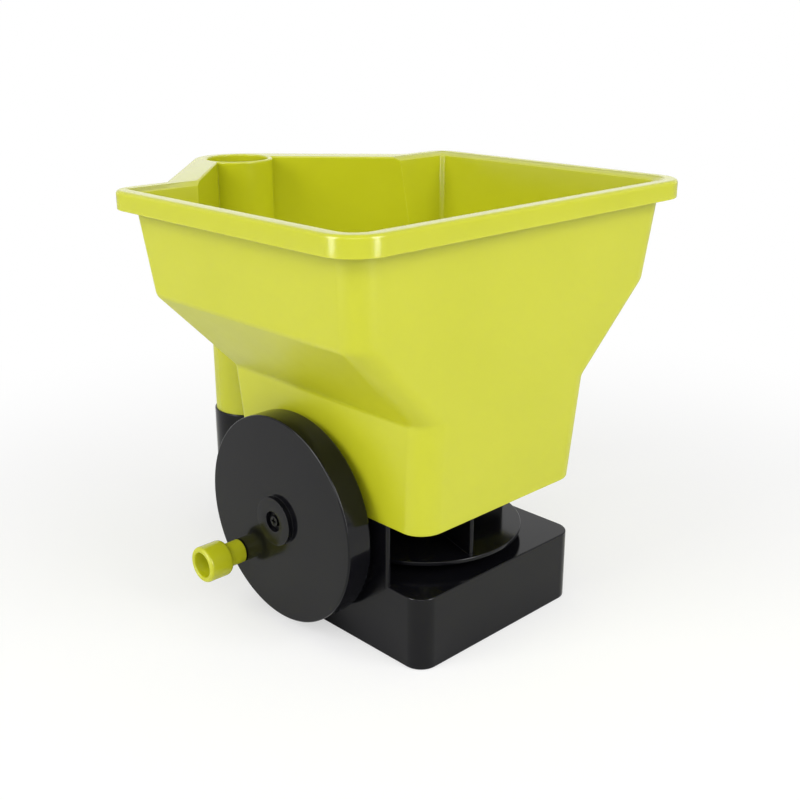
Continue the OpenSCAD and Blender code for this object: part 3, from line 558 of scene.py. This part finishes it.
def addGrip(piece):  # upright tube with a rounded mouth
    grip = startRod("grip", hopper["gripRadius"], hopper["gripLow"], rimTop, y=hopper["gripY"], sides=96)
    pick(grip, "EDGE", lambda e: atHeight(e, rimTop))
    roundEdges(hopper["mouthEdge"], steps=4)
    combine(piece, grip, "UNION")
    boreRadius = hopper["gripRadius"] - hopper["gripWall"]
    boreTop = rimTop - hopper["mouthEdge"]
    bore = startRod("bore", boreRadius, hopper["gripLow"] + wall, boreTop, y=hopper["gripY"], sides=96)
    pick(bore, "FACE", lambda f: f.normal.z > facing)
    for rise, growth in mouthSteps():
        pull(z=rise)
        wider = (boreRadius + growth) / boreRadius
        boreRadius += growth
        boreTop += rise
        bpy.ops.transform.resize(value=(wider, wider, 1), center_override=(0, hopper["gripY"], boreTop))
    pull(z=openTop - rimTop)
    closeShell()
    combine(piece, bore, "DIFFERENCE")


def cutFloor(piece):  # outlet, hole for the spinner's shaft, and the gate's slot in the skirt
    outlet = startPlane(
        "outlet", -hopper["outletHalf"], hopper["outletHalf"], hopper["outletFront"], hopper["outletRear"],
        hopper["neckLow"])
    pick(outlet, "VERT", lambda v: True)
    roundCorners(hopper["outletCorner"], steps=4)
    pickAll()
    pull(z=hopper["outletTall"])
    closeShell()
    combine(piece, outlet, "DIFFERENCE")
    shaftHole = startRod("shaftHole", hopper["shaftHole"], hopper["neckLow"], floorTop + wall, sides=48)
    combine(piece, shaftHole, "DIFFERENCE")
    gateLow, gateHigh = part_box("flow_gate")
    room = hopper["gateRoom"]
    rear = hopper["neckRear"]
    slot = boxTool(
        "slot", gateLow[0] - room, gateHigh[0] + room, rear - 2 * wall, rear + 2 * wall,
        gateLow[2] - room, gateLow[2] + hopper["gateThick"] + room)
    combine(piece, slot, "DIFFERENCE")


def addBosses(piece):  # each guide screw ends in a boss on the floor
    screwsLow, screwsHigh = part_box("guide_screws")
    bossTop = floorTop + hopper["bossHigh"]
    for x in (screwsLow[0] + hopper["screwHead"], screwsHigh[0] - hopper["screwHead"]):
        for y in (screwsLow[1] + hopper["screwHead"], screwsHigh[1] - hopper["screwHead"]):
            boss = startRod("boss", hopper["bossRadius"], floorTop - wall / 2, bossTop, x, y, sides=40)
            pick(boss, "EDGE", lambda e: atHeight(e, bossTop))
            roundEdges(hopper["bossEdge"], steps=3)
            combine(piece, boss, "UNION")


hopperShell = hopperBody()
addGrip(hopperShell)
cutFloor(hopperShell)
addBosses(hopperShell)
finishPiece(hopperShell, "base", limePlastic, ("hopper",))


# Base: block, the part that rises to the hopper round the disc, the arm and the socket of the grip
base = {
    "half": hopper["neckHalf"], "front": hopper["neckFront"], "rear": hopper["neckRear"],
    "top": hopper["neckLow"], "corner": 0.0088, "height": 0.0347, "edge": 0.0006, "wall": 0.0028,
    "chamber": 0.0494, "wingCrank": 0.0291, "wingFar": 0.0042, "wingEdge": 0.0013,
    "armHeight": 0.03, "armTurn": math.radians(14),
    "socketY": hopper["gripY"], "socketRadius": 0.01905, "socketLow": 0.0255, "socketTop": hopper["gripLow"],
    "socketBore": 0.01725, "bushHole": 0.0045, "axleHole": 0.00405,
}


def roundedBlock(name, low, high, edge):
    piece = startPlane(name, -base["half"], base["half"], -base["front"], base["rear"], low)
    pick(piece, "VERT", lambda v: True)
    roundCorners(base["corner"], steps=9)
    pickAll()
    pull(z=high - low)
    closeShell()
    if edge:
        pick(piece, "EDGE", lambda e: atHeight(e, high) or atHeight(e, low))
        roundEdges(edge, steps=3)
    return piece


def armSolid(reach, low, high, edge):
    turn = base["armTurn"]
    front = base["rear"] - base["corner"]
    rear = base["socketY"] + reach * math.sin(turn)
    rootHalf = (reach + math.sin(turn) * (base["socketY"] - front)) / math.cos(turn)
    tipHalf = reach * math.cos(turn)
    piece = startPlane("arm", -rootHalf, rootHalf, front, rear, low)
    pick(piece, "EDGE", lambda e: abs(middle(e).y - rear) < near)
    bpy.ops.transform.resize(value=(tipHalf / rootHalf, 1, 1), center_override=(0, rear, 0))
    pickAll()
    pull(z=high - low)
    closeShell()
    if edge:
        pick(piece, "EDGE", lambda e: isLevel(e) and abs(middle(e).x) > tipHalf / 2)
        roundEdges(edge, steps=3)
    return piece


def columnSolid():  # rises to the hopper round the disc, open in front
    piece = roundedBlock("column", base["height"] - base["wall"], base["top"], 0)
    chamber = startRod(
        "chamber", base["chamber"], base["height"] - 2 * base["wall"], base["top"] + past, sides=128)
    combine(piece, chamber, "DIFFERENCE")
    away = 2 * base["half"]  # clear of the base
    for left, right, rear in (
            (-base["chamber"], base["chamber"], 0),
            (-away, 0, -base["wingCrank"]),
            (0, away, -base["wingFar"])):
        combine(piece, boxTool("front", left, right, -away, rear, 0, away), "DIFFERENCE")
    reopen(piece)
    pick(piece, "EDGE", lambda e: not isLevel(e) and min(
        abs(middle(e).y + base["wingCrank"]), abs(middle(e).y + base["wingFar"])) < near)
    roundEdges(base["wingEdge"], steps=5)
    return piece


def addSocket(piece):  # arm to the foot of the grip, and the cup that holds it
    combine(piece, armSolid(base["socketRadius"], 0, base["armHeight"], base["edge"]), "UNION")
    toe = startRod("toe", base["socketRadius"], 0, base["armHeight"], y=base["socketY"], sides=96)
    pick(toe, "EDGE", isLevel)
    roundEdges(base["edge"], steps=3)
    combine(piece, toe, "UNION")
    socket = startRod(
        "socket", base["socketRadius"], base["socketLow"], base["socketTop"], y=base["socketY"], sides=96)
    pick(socket, "EDGE", lambda e: atHeight(e, base["socketTop"]))
    roundEdges(base["edge"], steps=3)
    combine(piece, socket, "UNION")
    bore = startRod(
        "socketBore", base["socketBore"], base["socketLow"] + base["wall"], base["socketTop"] + past,
        y=base["socketY"], sides=96)
    combine(piece, bore, "DIFFERENCE")


def hollowBase(piece):  # open below, for the drive
    hollow = startPlane(
        "hollow", -base["half"] + base["wall"], base["half"] - base["wall"], -base["front"] + base["wall"],
        base["rear"] - base["wall"], -past)
    pick(hollow, "VERT", lambda v: True)
    roundCorners(base["corner"] - base["wall"], steps=6)
    pickAll()
    pull(z=base["height"] - base["wall"] + past)
    closeShell()
    combine(piece, hollow, "DIFFERENCE")
    reach = base["socketRadius"] - base["wall"]
    combine(piece, armSolid(reach, -past, base["socketLow"], 0), "DIFFERENCE")
    toeHollow = startRod("toeHollow", reach, -past, base["socketLow"], y=base["socketY"], sides=64)
    combine(piece, toeHollow, "DIFFERENCE")


def boreBase(piece):  # for the disc's bush, and for layshaft and axle at the crank's side
    top = base["height"]
    bushHole = startRod("bushHole", base["bushHole"], top - 2 * base["wall"], top + pastThin, sides=48)
    combine(piece, bushHole, "DIFFERENCE")
    for name, radius in (("layshaft", base["bushHole"]), ("wheel_axle", base["axleHole"])):
        low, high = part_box(name)
        hole = startWheel(
            "hole", radius, -base["half"] - pastThin, -base["half"] + 2 * base["wall"],
            (low[1] + high[1]) / 2, (low[2] + high[2]) / 2, sides=48)
        combine(piece, hole, "DIFFERENCE")


baseShell = roundedBlock("baseShell", 0, base["height"], base["edge"])
combine(baseShell, columnSolid(), "UNION")
addSocket(baseShell)
hollowBase(baseShell)
boreBase(baseShell)
finishPiece(baseShell, "base", blackPlastic, ("base_housing",))


# Crank wheel: a shallow drum with a boss on its face and a ring of teeth inside
wheelLow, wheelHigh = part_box("crank_wheel")
wheel = {
    "y": (wheelLow[1] + wheelHigh[1]) / 2, "z": (wheelLow[2] + wheelHigh[2]) / 2,
    "radius": (wheelHigh[1] - wheelLow[1]) / 2, "thick": 0.0155, "rimDeep": 0.0136, "wall": 0.0023,
    "edge": 0.0008, "backEdge": 0.002,
    "bossRadius": 0.01135, "bossHeight": 0.0026, "bossEdge": 0.0012, "recess": 0.0049, "recessDeep": 0.0032,
    "hubRadius": 0.0071, "hubBore": 0.0031, "pinHole": 0.0024,
    "teeth": 72, "toothHigh": 0.00235, "toothTip": 0.0009, "toothRoot": 0.0016,
    "toothSink": 0.0002, "toothEdge": 0.0003,
}
back = wheelHigh[0]
face = back - wheel["thick"]
rimBack = face + wheel["rimDeep"]  # the hub goes on to the back


def outFrom(v):  # distance from the wheel's axis
    return math.hypot(v.co.y - wheel["y"], v.co.z - wheel["z"])


def drumSolid():
    def atRim(edge, x):
        return all(abs(v.co.x - x) < near and outFrom(v) > wheel["radius"] - near for v in edge.verts)

    piece = startWheel("crankDrum", wheel["radius"], face, rimBack, wheel["y"], wheel["z"], sides=160)
    pick(piece, "FACE", lambda f: f.normal.x < -facing)
    bpy.ops.mesh.inset(thickness=wheel["radius"] - wheel["bossRadius"])
    pull(x=-wheel["bossHeight"])
    bpy.ops.mesh.inset(thickness=wheel["bossRadius"] - wheel["recess"])
    pull(x=wheel["recessDeep"])
    pick(piece, "FACE", lambda f: f.normal.x > facing and outFrom(f.verts[0]) > wheel["radius"] - near)
    bpy.ops.mesh.inset(thickness=wheel["wall"])
    pull(x=wheel["wall"] - wheel["rimDeep"])
    bpy.ops.mesh.inset(thickness=wheel["radius"] - wheel["wall"] - wheel["hubRadius"])
    pull(x=wheel["thick"] - wheel["wall"])
    closeShell()
    pick(piece, "EDGE", lambda e: atRim(e, face))
    roundEdges(wheel["edge"], steps=4)
    pick(piece, "EDGE", lambda e: all(v.co.x < face - wheel["bossHeight"] + near for v in e.verts))
    roundEdges(wheel["bossEdge"], steps=3)
    pick(piece, "EDGE", lambda e: atRim(e, rimBack))
    roundEdges(wheel["backEdge"], steps=5)
    bore = startWheel("bore", wheel["hubBore"], face, back + pastThin, wheel["y"], wheel["z"], sides=48)
    combine(piece, bore, "DIFFERENCE")
    pinLow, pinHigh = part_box("knob_screw")
    pinHole = startWheel(
        "pinHole", wheel["pinHole"], face - pastThin, face + 2 * wheel["wall"],
        (pinLow[1] + pinHigh[1]) / 2, (pinLow[2] + pinHigh[2]) / 2, sides=32)
    combine(piece, pinHole, "DIFFERENCE")
    return piece


def ringTeeth():  # one tooth at the top of the drum, spun round its axis
    root = wheel["radius"] - wheel["wall"] + wheel["toothSink"]
    inner = face + wheel["wall"] - wheel["toothSink"]
    piece = startPlane("ringTeeth", inner, rimBack, -wheel["toothRoot"], wheel["toothRoot"], 0)
    pickAll()
    bpy.ops.transform.translate(value=(0, wheel["y"], wheel["z"] + root))
    pull(z=-wheel["toothHigh"])
    bpy.ops.transform.resize(
        value=(1, wheel["toothTip"] / wheel["toothRoot"], 1),
        center_override=(0, wheel["y"], wheel["z"] + root - wheel["toothHigh"]))
    closeShell()
    pick(piece, "EDGE", lambda e: atHeight(e, wheel["z"] + root - wheel["toothHigh"]))
    roundEdges(wheel["toothEdge"], steps=2)
    pickAll()
    bpy.ops.mesh.spin(
        steps=wheel["teeth"], dupli=True, angle=2 * math.pi,
        center=(0, wheel["y"], wheel["z"]), axis=(1, 0, 0))
    return piece


finishPiece(drumSolid(), "crank", blackPlastic, ("crank_wheel",))
finishPiece(ringTeeth(), "crank", blackPlastic)


# Knob: turned about its own axis, with a cup in its end for the screw
knobLow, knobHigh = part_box("crank_knob")
knob = {
    "y": (knobLow[1] + knobHigh[1]) / 2, "z": (knobLow[2] + knobHigh[2]) / 2,
    "neck": 0.0057, "neckLong": 0.009, "head": 0.0086, "cup": 0.006, "cupDeep": 0.0075, "bore": 0.00237,
    "footEdge": 0.0005, "shoulder": 0.0022, "headEdge": 0.0015, "cupEdge": 0.0009, "crease": 0.0004,
    "ringRoom": 0.02,
}


def knobSolid():
    foot = knobHigh[0]
    end = knobLow[0]
    shoulder = foot - knob["neckLong"]

    def onRing(edge, x, radius):  # an edge's middle lies a little inside its ring
        place = middle(edge)
        out = math.hypot(place.y - knob["y"], place.z - knob["z"])
        room = radius * knob["ringRoom"]
        return all(abs(v.co.x - x) < near for v in edge.verts) and abs(out - radius) < room

    piece = startWheel("crankKnob", knob["neck"], shoulder, foot, knob["y"], knob["z"], sides=64)
    pick(piece, "FACE", lambda f: f.normal.x < -facing)
    pull()
    grow = knob["head"] / knob["neck"]
    bpy.ops.transform.resize(value=(1, grow, grow), center_override=(shoulder, knob["y"], knob["z"]))
    pull(x=end - shoulder)
    bpy.ops.mesh.inset(thickness=knob["head"] - knob["cup"])
    pull(x=knob["cupDeep"])
    closeShell()
    for x, radius, width, steps in (
            (end, knob["head"], knob["headEdge"], 5), (end, knob["cup"], knob["cupEdge"], 4),
            (shoulder, knob["head"], knob["shoulder"], 7), (shoulder, knob["neck"], knob["crease"], 3),
            (foot, knob["neck"], knob["footEdge"], 3)):
        pick(piece, "EDGE", lambda e: onRing(e, x, radius))
        roundEdges(width, steps)
    bore = startWheel("bore", knob["bore"], end, foot + pastThin, knob["y"], knob["z"], sides=32)
    combine(piece, bore, "DIFFERENCE")
    return piece


finishPiece(knobSolid(), "knob", limePlastic, ("crank_knob",), sharp=50)


# Spinner disc: thin plate, four upright vanes and a hub
discLow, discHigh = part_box("spinner_disc")
disc = {
    "radius": (discHigh[0] - discLow[0]) / 2, "low": 0.039, "thick": 0.002, "rimEdge": 0.0004,
    "hub": 0.009, "hubTop": discHigh[2], "edge": 0.0006,
    "vanes": 4, "vaneThick": 0.002, "vaneTop": 0.0594, "vaneTurn": math.radians(-106.6),
}


def discSolid():
    piece = startRod("spinnerDisc", disc["radius"], disc["low"], disc["low"] + disc["thick"], sides=160)
    pick(piece, "EDGE", isLevel)
    roundEdges(disc["rimEdge"], steps=3)
    hub = startRod("hub", disc["hub"], discLow[2], disc["hubTop"], sides=64)
    pick(hub, "EDGE", isLevel)
    roundEdges(disc["edge"], steps=3)
    combine(piece, hub, "UNION")
    half = disc["vaneThick"] / 2
    for index in range(disc["vanes"]):
        vane = boxTool(
            "vane", disc["hub"] / 2, disc["radius"] - disc["thick"], -half, half,
            disc["low"] + disc["thick"] / 2, disc["vaneTop"])
        pick(vane, "EDGE", lambda e: middle(e).z > disc["low"] + disc["thick"] and middle(e).x > disc["hub"])
        roundEdges(disc["edge"], steps=3)
        pickAll()
        bpy.ops.transform.rotate(
            value=-(disc["vaneTurn"] + index * 2 * math.pi / disc["vanes"]), orient_axis="Z",
            center_override=(0, 0, 0))
        combine(piece, vane, "UNION")
    return piece


finishPiece(discSolid(), "spinner", blackPlastic, ("spinner_disc",))


# The solids that stay get their finish
finishes = (
    (blackPlastic, ("bottom_cover", "gate_guide")),
    (limePlastic, ("flow_gate", "agitator")),
    (nylonPlastic, ("floor_bush", "upper_bush", "lower_bush", "layshaft_bushes", "driven_bevel",
                    "drive_bevel", "pinion")),
    (brushedSteel, ("cover_screws", "hopper_screws", "grip_screw", "guide_screws", "spinner_shaft",
                    "disc_pin", "agitator_pin", "layshaft", "wheel_axle", "knob_screw", "knob_nut")),
    (blackSteel, ("axle_washer", "axle_screw")),
)
for material, names in finishes:
    for name in names:
        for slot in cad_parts[name].material_slots:
            slot.material = material
print("finishes on the solids that stay")


# Studio: white sweep of floor, soft world and softboxes
studio = {
    "worldColor": (1.0, 1.0, 1.0), "worldStrength": 0.46, "worldSeen": 1.0,
    "floorSize": 40.0, "floorDrop": 0.0002, "floorRough": 0.8,
    "floorColor": (0.95, 0.95, 0.95), "floorSeen": (1.0, 1.0, 1.0),
    "sweepStart": 0.16, "sweepEnd": 0.5, "sweepLeast": 0.55,
}


def studioWorld():  # dim as a light, and white to the camera and in the gloss
    world = bpy.data.worlds.new("studioWorld")
    world.use_nodes = True
    tree = world.node_tree
    backdrop = tree.nodes["Background"]
    backdrop.inputs["Color"].default_value = (*studio["worldColor"], 1)
    ray = addNode(tree, "ShaderNodeLightPath", (-600, 0))
    either = addMath(tree, "MAXIMUM", (-400, 0))
    strength = addNode(
        tree, "ShaderNodeMapRange", (-200, 0),
        **{"To Min": studio["worldStrength"], "To Max": studio["worldSeen"]})
    tree.links.new(ray.outputs["Is Camera Ray"], either.inputs[0])
    tree.links.new(ray.outputs["Is Glossy Ray"], either.inputs[1])
    tree.links.new(either.outputs[0], strength.inputs["Value"])
    tree.links.new(strength.outputs["Result"], backdrop.inputs["Strength"])
    return world


def sweepMaterial():  # takes the part's shadow, and away from it the camera sees plain white
    material = bpy.data.materials.new("paleFloor")
    material.use_nodes = True
    tree = material.node_tree
    links = tree.links
    shader = tree.nodes["Principled BSDF"]
    shader.inputs["Roughness"].default_value = studio["floorRough"]
    shader.inputs["Specular IOR Level"].default_value = 0.0
    ray = addNode(tree, "ShaderNodeLightPath", (-700, 0))
    color = addMix(tree, (-300, 0), studio["floorColor"], studio["floorSeen"])
    place = addNode(tree, "ShaderNodeTexCoord", (-900, -300))
    away = addMath(tree, "LENGTH", (-700, -300), kind="ShaderNodeVectorMath")
    fade = addNode(
        tree, "ShaderNodeMapRange", (-500, -300),
        **{"From Min": studio["sweepStart"], "From Max": studio["sweepEnd"], "To Min": studio["sweepLeast"]})
    fade.interpolation_type = "SMOOTHSTEP"
    shown = addMath(tree, "MULTIPLY", (-300, -300))
    white = addNode(tree, "ShaderNodeEmission", (0, -300))
    blend = addNode(tree, "ShaderNodeMixShader", (250, 0))
    links.new(ray.outputs["Is Camera Ray"], color.inputs["Factor"])
    links.new(color.outputs["Result"], shader.inputs["Base Color"])
    links.new(place.outputs["Object"], away.inputs[0])
    links.new(away.outputs["Value"], fade.inputs["Value"])
    links.new(fade.outputs["Result"], shown.inputs[0])
    links.new(ray.outputs["Is Camera Ray"], shown.inputs[1])
    links.new(shown.outputs[0], blend.inputs[0])
    links.new(shader.outputs[0], blend.inputs[1])
    links.new(white.outputs[0], blend.inputs[2])
    links.new(blend.outputs[0], tree.nodes["Material Output"].inputs["Surface"])
    return material


bpy.context.scene.world = studioWorld()
clearSelection()
bpy.ops.mesh.primitive_plane_add(size=studio["floorSize"], location=(0, 0, -studio["floorDrop"]))
floor = bpy.context.object
floor.name = "floor"
floor.data.materials.append(sweepMaterial())

partMiddle = (0, 0.03, 0.15)
nearCorner = (-0.1, -0.06, 0.36)  # above the lip's corner at the camera
softboxes = {
    "leftKey": {"at": (-1.22, 0.3, 0.85), "aim": partMiddle, "size": (0.8, 0.8), "power": 9.4},
    "frontKey": {"at": (0.3, -1.19, 0.85), "aim": partMiddle, "size": (0.8, 0.8), "power": 9.4},
    "viewKey": {"at": (-1.0, -1.0, 0.9), "aim": partMiddle, "size": (1.0, 0.8), "power": 6.0},
    "leftStrip": {"at": (-0.783, 0.094, 0.36), "aim": nearCorner, "size": (0.19, 0.7), "power": 3.3},
    "frontStrip": {"at": (0.071, -0.739, 0.36), "aim": nearCorner, "size": (0.19, 0.7), "power": 3.3},
    "rearStrip": {"at": (1.15, 1.1, 0.42), "aim": (0, 0.03, 0.2), "size": (1.6, 0.3), "power": 0.45},
}
for name, box in softboxes.items():
    lamp = bpy.data.lights.new(name, "AREA")
    lamp.shape = "RECTANGLE"
    lamp.size, lamp.size_y = box["size"]
    lamp.energy = box["power"]
    holder = bpy.data.objects.new(name, lamp)
    bpy.context.collection.objects.link(holder)
    holder.location = box["at"]
    holder.rotation_euler = (Vector(box["aim"]) - Vector(box["at"])).to_track_quat("-Z", "Y").to_euler()
    holder.visible_camera = False
    holder.visible_diffuse = "Strip" not in name  # strips only show in the gloss

view = {
    "at": (-0.34699, -0.34235, 0.2713), "turn": (1.23494, 0.0019, -0.7688), "lens": 49.951, "sensor": 36.0,
    "clip": 0.01,
}
camera = bpy.data.cameras.new("photoCamera")
camera.lens = view["lens"]
camera.sensor_width = view["sensor"]
camera.clip_start = view["clip"]
cameraHolder = bpy.data.objects.new("photoCamera", camera)
bpy.context.collection.objects.link(cameraHolder)
cameraHolder.location = view["at"]
cameraHolder.rotation_euler = view["turn"]
bpy.context.scene.camera = cameraHolder
print("studio and camera set")
